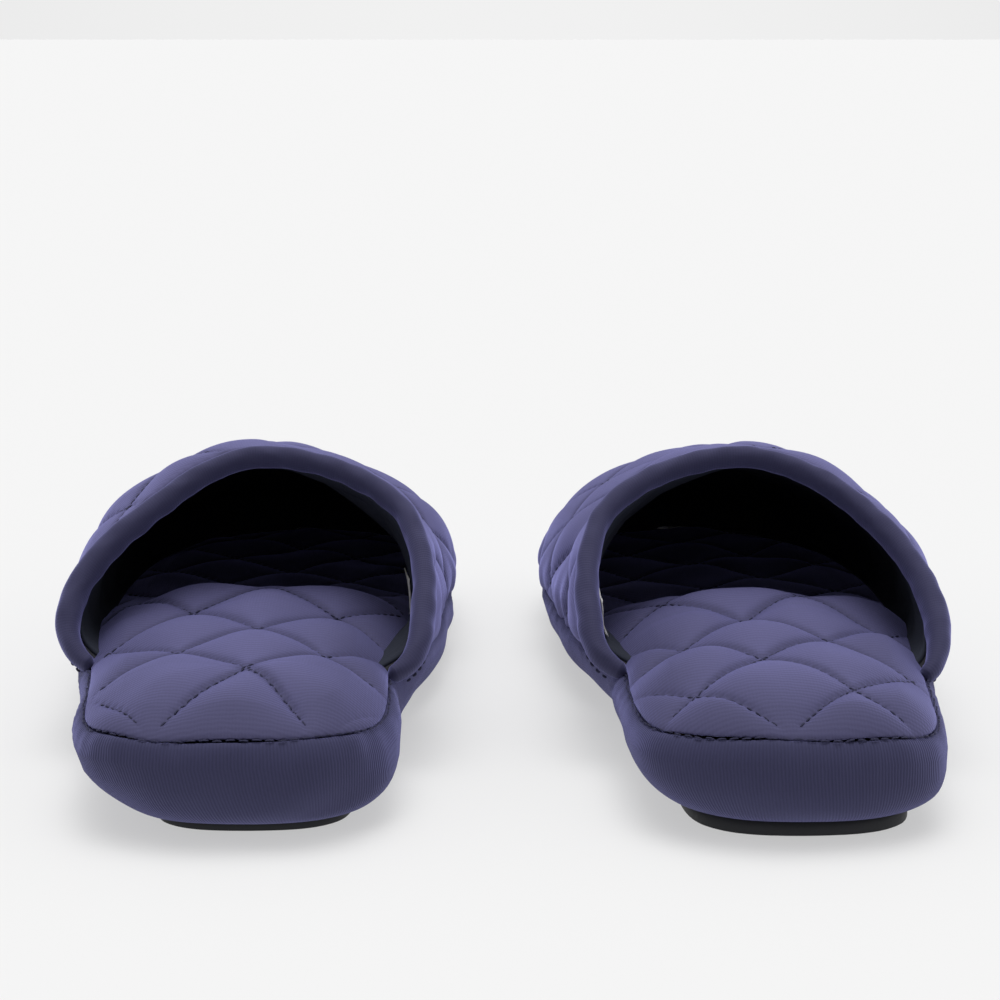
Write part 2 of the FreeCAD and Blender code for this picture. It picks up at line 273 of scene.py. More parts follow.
def shell_faces(rows, columns):
    """Faces of a closed slab: grid of tops, then the same grid of undersides, and its rim."""
    top = grid_faces(rows, columns)
    bottom = grid_faces(rows, columns, start=rows * columns, flip=True)
    number = np.arange(rows * columns).reshape(rows, columns)
    loop = np.concatenate([number[0, :-1], number[:-1, -1], number[-1, :0:-1], number[:0:-1, 0]])
    after = np.roll(loop, -1)
    below = rows * columns
    rim = np.column_stack([after, loop, loop + below, after + below])
    return np.vstack([top, bottom, rim])


def grid_normals(grid):
    """Unit normals of a rows x columns x 3 grid of points."""
    down = np.gradient(grid, axis=0)
    across = np.gradient(grid, axis=1)
    normal = np.cross(down, across)
    length = np.linalg.norm(normal, axis=2)[:, :, None]
    return normal / np.maximum(length, 1e-9)


# ---- Quilting ---------------------------------------------------------------------------

QUILT_PITCH = 38.0
QUILT_PLACE = {"left": (-2.0, 33.5), "right": (-4.0, 45.5)}     # where one crossing lies
# The diamonds are drawn longer at the heel: place along the foot, and where it would lie undrawn.
QUILT_DRAW = {"left": [(-12.0, 4.5), (0.5, 12.0), (33.5, 33.5), (60.0, 57.0), (280.0, 277.0)],
              "right": [(-12.0, -8.0), (4.0, 7.5), (45.5, 45.5), (70.0, 70.0), (280.0, 280.0)]}
STITCH_PITCH = 2.7
STITCH_LENGTH = 1.9
STITCH_RADIUS = 0.25
GROOVE_WIDTH = 1.9


def quilt_coordinates(side, x, y):
    """The two diagonal line numbers at a place; stitch lines lie on whole numbers."""
    place = QUILT_PLACE[side]
    draw = smooth_path(QUILT_DRAW[side], 400)
    y = np.interp(y, draw[:, 0], draw[:, 1])
    bend_x = 0.9 * waves(x, y, 60.0, SEED[side])
    bend_y = 0.9 * waves(x, y, 55.0, SEED[side] + 1)
    u = (x + bend_x - place[0]) / QUILT_PITCH
    v = (y + bend_y - place[1]) / QUILT_PITCH
    return u + v, u - v


def puff(p, q, seed):
    """Height of the padded diamonds, 0 on the stitching and 1 in the middle."""
    def swell(value):
        return 1 - np.abs(2 * (value - np.floor(value)) - 1) ** 2.2
    uneven = 1 + 0.16 * np.sin(12.9 * np.floor(p) + 7.3 * np.floor(q) + seed)
    return (swell(p) * swell(q)) ** 0.8 * uneven


def grooves(p, q):
    """1 on the stitch lines, fading to 0 on the open fabric: the mask of the shade painted into the
    quilting grooves.
    """
    off = np.minimum(np.abs(p - np.round(p)), np.abs(q - np.round(q))) * QUILT_PITCH / 2 ** 0.5
    return np.exp(-(off / GROOVE_WIDTH) ** 2)


def dimples(p, q):
    """Small holes along the stitch lines, 1 in the middle of each."""
    depth = np.zeros_like(p)
    step = STITCH_PITCH * 2 / QUILT_PITCH       # one stitch, in line numbers of the other family
    for across_line, along_line in ((p, q), (q, p)):
        off = (across_line - np.round(across_line)) * QUILT_PITCH / 2 ** 0.5
        beat = 0.5 - 0.5 * np.cos(2 * math.pi * along_line / (step / 2 ** 0.5))
        depth = np.maximum(depth, np.exp(-(off / 0.8) ** 2) * beat)
    return depth


def stitch_mesh(name, side, starts, ends, lifts, radius):
    """Short rounded stitches, each from its start to its end, bowed by its lift."""
    sides = 6
    shares = np.array([0.0, 0.12, 0.5, 0.88, 1.0])
    swell = np.array([0.35, 0.85, 1.0, 0.85, 0.35])
    starts, ends, lifts = np.asarray(starts), np.asarray(ends), np.asarray(lifts)
    count, rings = len(starts), len(shares)
    along = ends - starts
    along /= np.maximum(np.linalg.norm(along, axis=1)[:, None], 1e-9)
    across = np.cross(along, lifts)
    across /= np.maximum(np.linalg.norm(across, axis=1)[:, None], 1e-9)
    upward = np.cross(across, along)
    angle = np.linspace(0, 2 * math.pi, sides, endpoint=False)
    middle = (starts[:, None] * (1 - shares)[None, :, None] + ends[:, None] * shares[None, :, None]
              + lifts[:, None] * (np.sin(math.pi * shares) * 0.5)[None, :, None])
    circle = (across[:, None, None] * np.cos(angle)[None, None, :, None]
              + upward[:, None, None] * np.sin(angle)[None, None, :, None])
    points = middle[:, :, None] + circle * (radius * swell)[None, :, None, None]
    one = []
    for ring in range(rings - 1):
        for k in range(sides):
            a, b = ring * sides + k, ring * sides + (k + 1) % sides
            one.append((a, b, b + sides, a + sides))
    last = (rings - 1) * sides
    one += [(0, 5, 4, 3), (0, 3, 2, 1)]
    one += [(last, last + 1, last + 2, last + 3), (last, last + 3, last + 4, last + 5)]
    faces = (np.array(one)[None] + (np.arange(count) * rings * sides)[:, None, None]).reshape(-1, 4)
    return make_piece(name, side, points.reshape(-1, 3), faces)


# ---- Footbed ----------------------------------------------------------------------------

FOOTBED_ROWS = 330
FOOTBED_COLUMNS = 124
CUSHION_RADIUS = 37.0
FOOTBED_PUFF = 3.6


def spread(count, edge=0.35):
    """0 to 1 in steps that are closer together near both ends."""
    t = np.linspace(0, 1, count)
    return (1 - edge) * t + edge * (0.5 - 0.5 * np.cos(math.pi * t))


def sole_patch(inset, rows, columns):
    """A grid of places that fills the outline, drawn in by the inset."""
    loop = closed_curve(OUTLINE, 2400)
    loop = loop + inward(loop) * inset

    def corner(place):
        return int(np.argmin(np.linalg.norm(loop - np.array(place), axis=1)))

    heel_outer, toe_outer = corner((33.0, 14.0)), corner((36.0, 240.0))
    toe_inner, heel_inner = corner((-40.0, 243.0)), corner((-33.0, 14.0))

    def stretch(start, end, shares):
        span = (end - start) % len(loop)
        place = start + span * shares
        whole = np.floor(place).astype(int)
        part = (place - whole)[:, None]
        return loop[whole % len(loop)] * (1 - part) + loop[(whole + 1) % len(loop)] * part

    u = spread(columns)
    v = spread(rows, 0.15)
    heel = stretch(heel_inner, heel_outer, u)
    toe = stretch(toe_outer, toe_inner, u)[::-1]
    outer = stretch(heel_outer, toe_outer, v)
    inner = stretch(toe_inner, heel_inner, v)[::-1]
    u = u[None, :, None]
    v = v[:, None, None]
    corners = ((1 - u) * (1 - v) * heel[0] + u * (1 - v) * heel[-1]
               + (1 - u) * v * toe[0] + u * v * toe[-1])
    return ((1 - v) * heel[None] + v * toe[None]
            + (1 - u) * inner[:, None] + u * outer[:, None] - corners)


def distance_to_edge(patch, inset):
    loop = closed_curve(OUTLINE, 3000)
    loop = loop + inward(loop) * inset
    tree = KDTree(len(loop))
    for index, (x, y) in enumerate(loop):
        tree.insert((x, y, 0.0), index)
    tree.balance()
    return np.array([tree.find((x, y, 0.0))[2] for x, y in patch.reshape(-1, 2)]).reshape(patch.shape[:2])


def cushion_rise(distance):
    share = np.clip(distance / CUSHION_RADIUS, 0, 1)
    return (1 - (1 - share) ** 1.65) ** (1 / 1.65)


def footbed_height(side, x, y, distance):
    p, q = quilt_coordinates(side, x, y)
    edge = np.clip(distance / 9.0, 0, 1)
    along = y - CREST_SHIFT[side]
    rise = table(CROWN, along)
    rise = rise + CREST_LIFT * np.clip(1 - (np.abs(along - CREST) / CREST_LENGTH) ** 2, 0, 1)
    height = seam_z(side, x, y) + rise * cushion_rise(distance)
    calm = np.interp(along, [CREST - 20.0, CREST - 2.0], [1.0, 0.5])
    height += FOOTBED_PUFF * (puff(p, q, SEED[side]) * calm + 0.6 * (1 - calm)) * (0.25 + 0.75 * edge)
    height -= 0.6 * dimples(p, q) * edge
    height += 0.3 * waves(x, y, 26.0, SEED[side] + 5) * edge
    return height


def between(wanted, lengths, rows):
    """Values of the rows at the wanted lengths along them."""
    return np.column_stack([np.interp(wanted, lengths, rows[:, k]) for k in range(rows.shape[1])])


def grid_stitches(name, side, grid, lines, inside):
    """Stitches along the quilt lines that cross a grid of places on the fabric."""
    starts, ends, lifts = [], [], []
    normal = grid_normals(grid)
    if normal[grid.shape[0] // 2, grid.shape[1] // 2, 2] < 0:
        normal = -normal
    for numbers in lines:
        for level in range(int(np.floor(numbers.min())), int(np.ceil(numbers.max())) + 1):
            over = numbers - level
            flips = (over[:, :-1] * over[:, 1:] <= 0) & inside[:, :-1] & inside[:, 1:]
            rows, columns = np.nonzero(flips)
            if len(rows) < 4:
                continue
            share = np.abs(over[rows, columns]) / (np.abs(over[rows, columns])
                                                   + np.abs(over[rows, columns + 1]) + 1e-12)
            place = grid[rows, columns] * (1 - share)[:, None] + grid[rows, columns + 1] * share[:, None]
            facing = normal[rows, columns]
            order = np.argsort(rows, kind="stable")
            place, facing = place[order], facing[order]
            travelled = np.concatenate([[0], np.cumsum(np.linalg.norm(np.diff(place, axis=0), axis=1))])
            first = np.arange(0, travelled[-1] - STITCH_LENGTH, STITCH_PITCH)
            starts.append(between(first, travelled, place))
            ends.append(between(first + STITCH_LENGTH, travelled, place))
            lifts.append(between(first, travelled, facing))
    starts, ends, lifts = np.vstack(starts), np.vstack(ends), np.vstack(lifts)
    short = np.linalg.norm(ends - starts, axis=1) < STITCH_LENGTH * 1.3
    lifts = lifts[short] * 0.3
    return stitch_mesh(name, side, starts[short], ends[short], lifts, STITCH_RADIUS)


EDGE_LENGTH = 700.0
EDGE_STITCH_PITCH = 3.4
EDGE_STITCH_RADIUS = 0.21


def make_edge_thread(side):
    """The lockstitch that joins the footbed cover to the platform wrap."""
    count = int(EDGE_LENGTH / EDGE_STITCH_PITCH)
    loop = closed_curve(OUTLINE, count * 8)
    normal = inward(loop)
    rng = np.random.default_rng(SEED[side] + 40)
    jitter = rng.uniform(-0.25, 0.25, (count, 4))
    inset = SEAM_INSET - 0.5 + jitter[:, 0]
    near = np.arange(count) * 8
    far = (near + 6) % len(loop)
    starts = loop[near] + normal[near] * inset[:, None]
    ends = loop[far] + normal[far] * (inset + jitter[:, 1])[:, None]
    starts = np.column_stack([starts, seam_z(side, *starts.T) + 0.3 + jitter[:, 2]])
    ends = np.column_stack([ends, seam_z(side, *ends.T) + 0.3 + jitter[:, 3]])
    lifts = np.column_stack([-normal[near] * 0.25, np.full(count, 0.4)])
    return stitch_mesh(side + "_footbed_edge_stitches", side, starts, ends, lifts, EDGE_STITCH_RADIUS)


def make_footbed(side):
    patch = sole_patch(SEAM_INSET, FOOTBED_ROWS, FOOTBED_COLUMNS)
    x, y = patch[:, :, 0], patch[:, :, 1]
    distance = distance_to_edge(patch, SEAM_INSET)
    top = footbed_height(side, x, y, distance)
    thickness = np.minimum(1.4, 0.3 + distance * 0.4)
    points = np.vstack([
        np.column_stack([x.ravel(), y.ravel(), top.ravel()]),
        np.column_stack([x.ravel(), y.ravel(), (top - thickness).ravel()]),
    ])
    # Painted shade: the cover's colour is darker in the quilting grooves and along the footbed's edge,
    # where shade falls; cloth z carries how much.
    shade = np.maximum(grooves(*quilt_coordinates(side, x, y)), 0.95 * np.exp(-(distance / 19.0) ** 2))
    cloth = np.column_stack([x.ravel(), y.ravel(), shade.ravel()])
    cover = make_piece(side + "_footbed_cover_quilted", side, points,
                       shell_faces(FOOTBED_ROWS, FOOTBED_COLUMNS), np.vstack([cloth, cloth]))
    thread = grid_stitches(side + "_footbed_quilt_stitches", side, np.stack([x, y, top], axis=2),
                           quilt_coordinates(side, x, y), distance > 3.0)

    patch = sole_patch(SEAM_INSET + 4.0, FOOTBED_ROWS // 3, FOOTBED_COLUMNS // 3)
    x, y = patch[:, :, 0], patch[:, :, 1]
    distance = distance_to_edge(patch, SEAM_INSET + 4.0) + 4.0
    roof = footbed_height(side, x, y, distance) - 1.9
    base = np.minimum(seam_height(y) - 1.7, roof - 0.1)
    points = np.vstack([
        np.column_stack([x.ravel(), y.ravel(), roof.ravel()]),
        np.column_stack([x.ravel(), y.ravel(), base.ravel()]),
    ])
    padding = make_piece(side + "_footbed_padding_soft", side, points, shell_faces(*x.shape))
    return cover, padding, thread


# ---- Platform ---------------------------------------------------------------------------

WALL_AROUND = 900
WALL_ROWS = 44


def tuck_under(side, loop, inset, share):
    """The outline drawn in by the inset; its lower part is drawn in more and lies to one side."""
    under = max(0.0, 1 - share / 0.75) ** 1.3
    place = loop + inward(loop) * np.reshape(inset + UNDER_INSET[side] * under, (-1, 1))
    place[:, 0] += PAIR_RIGHT[side] * UNDER_SHIFT[side] * under
    return place


def make_wrap(side):
    loop = closed_curve(OUTLINE, WALL_AROUND)
    loop = np.roll(loop, -int(np.argmax(loop[:, 1])), axis=0)
    outer = smooth_path(WALL_PROFILE, WALL_ROWS)
    around = np.linspace(0, 1, WALL_AROUND, endpoint=False)
    grid, cloth = [], []
    for skin, profile in ((0.0, outer), (WRAP_THICKNESS, outer[::-1])):
        for step, (inset, share) in enumerate(profile):
            low = OUTSOLE_TOP[side] + skin * 0.8
            lump = 0.55 * round_waves(around, share * 20, 38.0, SEED[side] + 9)
            gather = 0.5 * max(0.0, share - 0.6) * round_waves(around, 0.0, 7.0, SEED[side] + 2)
            out = (lump + gather) * min(1.0, 4 * share) * (1.0 if skin == 0.0 else 0.6)
            place = tuck_under(side, loop, inset + skin - out, share)
            top = seam_z(side, place[:, 0], place[:, 1])
            height = low + (top - low) * share - skin * 0.3 * share
            grid.append(np.column_stack([place, height]))
            up = step if skin == 0.0 else WALL_ROWS - step
            cloth.append(np.column_stack([around * PERIMETER, np.full(WALL_AROUND, up), 0 * around]))
    faces = grid_faces(len(grid), WALL_AROUND, close_rows=True, close_columns=True)
    return make_piece(side + "_platform_wrap_ribbed", side, np.vstack(grid), faces, np.vstack(cloth))


def make_block(side):
    """The foam platform that fills the wrap."""
    loop = closed_curve(OUTLINE, 240)
    levels = []
    for inset, share in WALL_PROFILE[1:-1]:
        place = tuck_under(side, loop, inset + WRAP_THICKNESS + FOAM_GAP, share)
        low = OUTSOLE_TOP[side] + WRAP_THICKNESS
        top = seam_height(place[:, 1]) - 3.4
        levels.append(np.column_stack([place, low + (top - low) * min(share, 1.0)]))
    sides = grid_faces(len(levels), len(loop), close_columns=True)
    points = np.vstack(levels + [np.mean(level, axis=0)[None] for level in (levels[0], levels[-1])])
    below, above = len(points) - 2, len(points) - 1
    number = np.arange(len(loop))
    after = np.roll(number, -1)
    last = (len(levels) - 1) * len(loop)
    floor_faces = [(int(b), int(a), below) for a, b in zip(number, after)]
    roof_faces = [(int(a) + last, int(b) + last, above) for a, b in zip(number, after)]
    faces = sides.tolist() + floor_faces + roof_faces
    return make_piece(side + "_platform_foam_block", side, points, faces)


def make_board(side):
    patch = sole_patch(SEAM_INSET + 5.0, 60, 24)
    flat = patch.reshape(-1, 2)
    top = seam_height(flat[:, 1]) - 1.8
    points = np.vstack([np.column_stack([flat, top]), np.column_stack([flat, top - 1.5])])
    return make_piece(side + "_insole_board_thin", side, points, shell_faces(60, 24))


def make_outsole(side):
    """A thin moulded rubber sole with grooves across it."""
    rows, columns = 300, 40
    patch = sole_patch(OUTSOLE_INSET[side], rows, columns)
    x, y = patch[:, :, 0].copy(), patch[:, :, 1]
    x += PAIR_RIGHT[side] * UNDER_SHIFT[side]
    groove = np.clip(1.3 - np.abs((y / TREAD_PITCH) % 1.0 - 0.5) * TREAD_PITCH / 0.8, 0, 1)
    distance = distance_to_edge(patch, OUTSOLE_INSET[side])
    rim = np.clip(distance / 2.0, 0, 1)
    bottom = TREAD_DEPTH * groove * rim + 0.5 * (1 - rim) ** 2
    top = np.full_like(x, OUTSOLE_TOP[side] + 0.6)
    points = np.vstack([np.column_stack([x.ravel(), y.ravel(), top.ravel()]),
                        np.column_stack([x.ravel(), y.ravel(), bottom.ravel()])])
    return make_piece(side + "_outsole_treaded", side, points, shell_faces(rows, columns))


# ---- Upper ------------------------------------------------------------------------------

UPPER_ACROSS = 230
UPPER_ALONG = 230
UPPER_PUFF = 2.1
ARC_STEPS = 300
STATIONS = 420


def side_reach(loop):
    """x of the outer and of the inner side against y, from heel to toe."""
    heel, toe = int(np.argmin(loop[:, 1])), int(np.argmax(loop[:, 1]))
    count = len(loop)
    outer = loop[[(heel + k) % count for k in range((toe - heel) % count + 1)]]
    inner = loop[[(toe + k) % count for k in range((heel - toe) % count + 1)]][::-1]
    return outer, inner


def sides_at(loop, y):
    outer, inner = side_reach(loop)
    return np.interp(y, outer[:, 1], outer[:, 0]), np.interp(y, inner[:, 1], inner[:, 0])


def arch_table(side, inset):
    """Even points round the upper's section at many stations: y, then x and z per column."""
    loop = closed_curve(UPPER_OUTLINE, 2400)
    loop = loop + inward(loop) * inset
    foot_loop = closed_curve(OUTLINE, 2400)
    foot_loop = foot_loop + inward(foot_loop) * (FOOT_INSET + inset)
    tip = loop[:, 1].max()
    start = COLLAR_END[0] - 25.0
    turn = np.linspace(0, math.pi / 2, STATIONS)
    y = start + (tip - 0.02 - start) * np.sin(turn)
    right, left = sides_at(loop, y)
    right = right + OUTER_SPREAD[side] * np.exp(-((y - 72.0) / 34.0) ** 2)
    foot_right, foot_left = sides_at(foot_loop, np.minimum(y, foot_loop[:, 1].max() - 0.5))
    ridge = smooth_path(RIDGE, 600)
    base = seam_height(y) - 1.5 + 0.55 * inset
    top = np.interp(y, ridge[:, 0], ridge[:, 1]) - inset
    widest = np.maximum(table(WIDEST_HEIGHT, y), base + 1.0)
    outer_power = np.interp(y, [102.0, 122.0], [OUTER_SHOULDER[side], VAMP_SHOULDER[side]])
    inner_power = np.interp(y, [100.0, 130.0, 160.0], [INNER_SHOULDER, 1.3, 1.35])
    lean = np.interp(y, [100.0, 126.0], [LEAN, 0.0])
    angle = np.linspace(0, math.pi, ARC_STEPS)
    drop = np.linspace(1, 0, 60, endpoint=False)
    x_table, z_table, length_table = [], [], []
    for k in range(STATIONS):
        middle, reach = (left[k] + right[k]) / 2, (right[k] - left[k]) / 2
        swing = np.cos(angle)
        bow = np.maximum(swing, 0) ** outer_power[k] - np.maximum(-swing, 0) ** inner_power[k]
        x_arc = middle - lean[k] * np.sin(angle) + reach * bow
        z_arc = widest[k] + (top[k] - widest[k]) * np.sin(angle)
        foot_r, foot_l = min(foot_right[k], right[k]), max(foot_left[k], left[k])
        x_right = foot_r + (right[k] - foot_r) * (1 - drop ** 3.2)
        x_left = foot_l + (left[k] - foot_l) * (1 - drop ** 3.2)
        z_low = widest[k] - (widest[k] - base[k]) * drop
        x_row = np.concatenate([x_right, x_arc, x_left[::-1]])
        z_row = np.concatenate([z_low, z_arc, z_low[::-1]])
        lengths = np.concatenate([[0], np.cumsum(np.hypot(np.diff(x_row), np.diff(z_row)))])
        wanted = np.linspace(0, lengths[-1], UPPER_ACROSS)
        x_table.append(np.interp(wanted, lengths, x_row))
        z_table.append(np.interp(wanted, lengths, z_row))
        length_table.append(lengths[-1])
    return y, np.array(x_table), np.array(z_table), np.array(length_table)


def collar_cut(side, arches, forward):
    """y at which every column of the arch table meets the collar line, moved forward."""
    y, x, z, _ = arches
    outer, inner = COLLAR_SKEW[side]
    skew = np.where(x > 0, outer, inner) * np.clip((62.0 - z) / 34.0, 0, 1) ** 1.2
    line = COLLAR_END[0] + (z - COLLAR_END[1]) * COLLAR_RUN / COLLAR_RISE
    line = line + forward * COLLAR_SLANT / COLLAR_RISE + skew
    gap = y[:, None] - line
    first = np.argmax(gap > 0, axis=0)
    columns = np.arange(gap.shape[1])
    before = gap[first - 1, columns]
    after = gap[first, columns]
    return y[first - 1] - before / (after - before) * (y[first] - y[first - 1])


def close_toe(grid):
    """Both halves of the upper meet on one upright line at the tip of the toe."""
    grid[-1, :, :2] = grid[-1, :, :2].mean(axis=0)


def roll_width(share):
    """Width of the rolled collar, from its outer end (0) over the throat to its inner end (1)."""
    return COLLAR_WIDTH * (1 - COLLAR_SLIM * np.sin(math.pi * share) ** 2)


def upper_grid(side, inset, forward):
    """Grid of places on the upper, collar first and toe last, with fabric coordinates."""
    arches = arch_table(side, inset)
    y_table, x_table, z_table, length_table = arches
    start = collar_cut(side, arches, forward)
    tip = y_table[-1]
    along = np.sin(np.linspace(0, math.pi / 2, UPPER_ALONG)) * 0.8 + np.linspace(0, 1, UPPER_ALONG) * 0.2
    y = start[None, :] + (tip - start[None, :]) * along[:, None]
    x = np.empty_like(y)
    z = np.empty_like(y)
    for column in range(UPPER_ACROSS):
        x[:, column] = np.interp(y[:, column], y_table, x_table[:, column])
        z[:, column] = np.interp(y[:, column], y_table, z_table[:, column])
    across = (np.linspace(0, 1, UPPER_ACROSS)[None, :] - 0.5) * np.interp(y, y_table, length_table)
    grid = np.stack([x, y, z], axis=2)
    close_toe(grid)
    return grid, across, y


def fade(value, width):
    return np.clip(value / width, 0, 1) ** 0.6


LABEL_LENGTH = 13.0
LABEL_HEIGHT = 10.0
LABEL_START = {"left": 104.0, "right": 79.2}


def make_label(side, lining_face):
    """A blank woven tab that lies on the lining on the inner side."""
    start = LABEL_START[side]
    flat = lining_face.reshape(-1, 3)
    inner_side = flat[flat[:, 0] < -20]
    steps = 12
    y = start + LABEL_LENGTH * np.linspace(0, 1, steps)
    z = seam_height(start) + 7.0 + LABEL_HEIGHT * np.linspace(0, 1, steps)
    grid = np.zeros((steps, steps, 3))
    for row in range(steps):
        for column in range(steps):
            gap = np.hypot(inner_side[:, 1] - y[column], inner_side[:, 2] - z[row])
            nearest = inner_side[np.argsort(gap)[:6]]
            grid[row, column] = (nearest[:, 0].max() + 0.5, y[column], z[row])
    under = grid - np.array([0.35, 0, 0])
    points = np.vstack([grid.reshape(-1, 3), under.reshape(-1, 3)])
    return make_piece(side + "_care_label_tab", side, points, shell_faces(steps, steps))


UPPER_START = roll_width(np.linspace(0, 1, UPPER_ACROSS)) - 1.0


def make_upper(side):
    outer, across, along = upper_grid(side, 0.0, UPPER_START)
    normal = grid_normals(outer)
    p, q = quilt_coordinates(side, across * 0.98, along)
    rows = np.linspace(0, 1, UPPER_ALONG)[:, None]
    columns = np.linspace(0, 1, UPPER_ACROSS)[None, :]
    border = fade(rows, 0.05) * fade(columns, 0.05) * fade(1 - columns, 0.05) * fade(1 - rows, 0.08)
    lift = UPPER_PUFF * (puff(p, q, SEED[side] + 3) - 0.4) * border - 0.8 * (1 - border)
    lift += 0.6 * waves(across, along, 45.0, SEED[side] + 4) * border
    lift -= 0.5 * dimples(p, q) * border
    low = np.minimum(columns, 1 - columns) * np.ones_like(rows)
    gathers = waves(along, 0 * along, 8.0, SEED[side] + 14) * fade(rows, 0.03)
    lift += 0.5 * np.exp(-(low / 0.07) ** 2) * gathers
    face = outer + normal * lift[:, :, None]
    close_toe(face)
    under, _, _ = upper_grid(side, SHELL, UPPER_START)
    points = np.vstack([face.reshape(-1, 3), under.reshape(-1, 3)])
    # cloth z is the shade painted into the shell's quilting grooves.
    cloth = np.column_stack([across.ravel(), along.ravel(), grooves(p, q).ravel()])
    faces = shell_faces(UPPER_ALONG, UPPER_ACROSS)[:, ::-1]
    shell = make_piece(side + "_upper_shell_quilted", side, points, faces, np.vstack([cloth, cloth]))
    thread = grid_stitches(side + "_upper_quilt_stitches", side, face, (p, q), border > 0.6)

    padding_grids = [upper_grid(side, depth, UPPER_START)[0].reshape(-1, 3)
                     for depth in (SHELL + 0.1, UPPER_THICKNESS - 1.3)]
    padding = make_piece(side + "_upper_padding_soft", side, np.vstack(padding_grids), faces)

    inner, across_in, along_in = upper_grid(side, UPPER_THICKNESS, UPPER_START)
    p, q = quilt_coordinates(side, across_in, along_in)
    sink = 1.0 * puff(p, q, SEED[side] + 3) * border
    lining_face = inner - grid_normals(inner) * sink[:, :, None]
    close_toe(lining_face)
    lining_back, _, _ = upper_grid(side, UPPER_THICKNESS - 1.2, UPPER_START)
    points = np.vstack([lining_back.reshape(-1, 3), lining_face.reshape(-1, 3)])
    lining = make_piece(side + "_upper_lining_soft", side, points, faces)
    label = make_label(side, lining_face)
    return shell, padding, lining, thread, label


# ---- Collar -----------------------------------------------------------------------------

COLLAR_STEPS = 460
COLLAR_ROUND = 44
COLLAR_LENGTH = 230.0
COLLAR_STITCH_RADIUS = 0.34


def make_collar(side):
    arches = arch_table(side, COLLAR_DEPTH / 2 - 0.4)
    y_table, x_table, z_table, _ = arches
    y = collar_cut(side, arches, roll_width(np.linspace(0, 1, UPPER_ACROSS)) / 2)
    columns = np.arange(UPPER_ACROSS)
    x = np.array([np.interp(y[c], y_table, x_table[:, c]) for c in columns])
    z = np.array([np.interp(y[c], y_table, z_table[:, c]) for c in columns])
    path = smooth_path(np.column_stack([x, y, z])[::6], COLLAR_STEPS)
    tangent = np.gradient(path, axis=0)
    tangent /= np.linalg.norm(tangent, axis=1)[:, None]
    forward = np.array([0.0, COLLAR_RISE, -COLLAR_RUN]) / COLLAR_SLANT
    out = np.cross(tangent, forward)
    out /= np.linalg.norm(out, axis=1)[:, None]
    forward = np.cross(out, tangent)
    share = np.linspace(0, 1, COLLAR_STEPS)
    length_mm = share * COLLAR_LENGTH
    from_end = np.minimum(share, 1 - share)
    taper = 0.5 + 0.5 * np.clip(from_end / 0.09, 0, 1) ** 0.7
    size = taper * (1 + 0.018 * waves(length_mm, 0 * share, 24.0, SEED[side] + 6))
    size *= np.clip(from_end / 0.008, 0, 1) ** 0.5
    thinner = 1 - 0.25 * np.sin(math.pi * share) ** 2
    half_width = roll_width(share)[:, None] / 2
    angle = np.linspace(0, 2 * math.pi, COLLAR_ROUND, endpoint=False)
    crease = 0.12 * waves(np.repeat(length_mm, COLLAR_ROUND), np.tile(angle * 5, COLLAR_STEPS), 9.0,
                          SEED[side] + 7).reshape(COLLAR_STEPS, COLLAR_ROUND)
    flat = np.sign(np.cos(angle)) * np.abs(np.cos(angle)) ** 0.85
    ring = (path[:, None, :]
            + forward[:, None, :] * ((flat * half_width + crease) * size[:, None])[:, :, None]
            + out[:, None, :] * ((np.sin(angle) * COLLAR_DEPTH / 2 + crease)
                                 * (size * thinner)[:, None])[:, :, None])
    faces = grid_faces(COLLAR_STEPS, COLLAR_ROUND, close_columns=True)
    cloth = np.column_stack([np.repeat(length_mm, COLLAR_ROUND), np.tile(angle * 5, COLLAR_STEPS),
                             np.zeros(COLLAR_STEPS * COLLAR_ROUND)])
    roll = make_piece(side + "_collar_binding_rolled", side, ring.reshape(-1, 3), faces, cloth)
    core_ring = path[:, None, :] + (ring - path[:, None, :]) * 0.7
    core = make_piece(side + "_collar_core_round", side, core_ring.reshape(-1, 3), faces)
    near = np.arange(10, COLLAR_STEPS - 14, int(COLLAR_STEPS * STITCH_PITCH / COLLAR_LENGTH))
    far = near + int(COLLAR_STEPS * STITCH_LENGTH / COLLAR_LENGTH)
    ditch = path + forward * (half_width + 0.1) - out * (COLLAR_DEPTH * 0.3 * size)[:, None]
    thread = stitch_mesh(side + "_collar_seam_stitches", side, ditch[near], ditch[far],
                         -out[near] * 0.3, COLLAR_STITCH_RADIUS)
    return roll, core, thread


# ---- Materials --------------------------------------------------------------------------

def add_node(material, kind, values=None, **settings):
    node = material.node_tree.nodes.new(kind)
    for key, value in settings.items():
        setattr(node, key, value)
    for socket, value in (values or {}).items():
        if isinstance(value, bpy.types.NodeSocket):
            material.node_tree.links.new(value, node.inputs[socket])
        else:
            node.inputs[socket].default_value = value
    return node


def calculate(material, operation, first, second=0.0):
    return add_node(material, "ShaderNodeMath", {0: first, 1: second}, operation=operation).outputs[0]


def principled(name, color, roughness, sheen=0.0):
    material = bpy.data.materials.new(name)
    material.use_nodes = True
    shader = material.node_tree.nodes["Principled BSDF"]
    shader.inputs["Base Color"].default_value = (*color, 1.0)
    shader.inputs["Roughness"].default_value = roughness
    shader.inputs["Specular IOR Level"].default_value = 0.2
    shader.inputs["Sheen Weight"].default_value = sheen
    shader.inputs["Sheen Roughness"].default_value = 0.4
    shader.inputs["Sheen Tint"].default_value = (0.45, 0.45, 1.0, 1.0)
    return material, shader


def noise(material, where, scale, detail=2.0):
    values = {"Vector": where, "Scale": scale, "Detail": detail}
    return add_node(material, "ShaderNodeTexNoise", values).outputs[0]


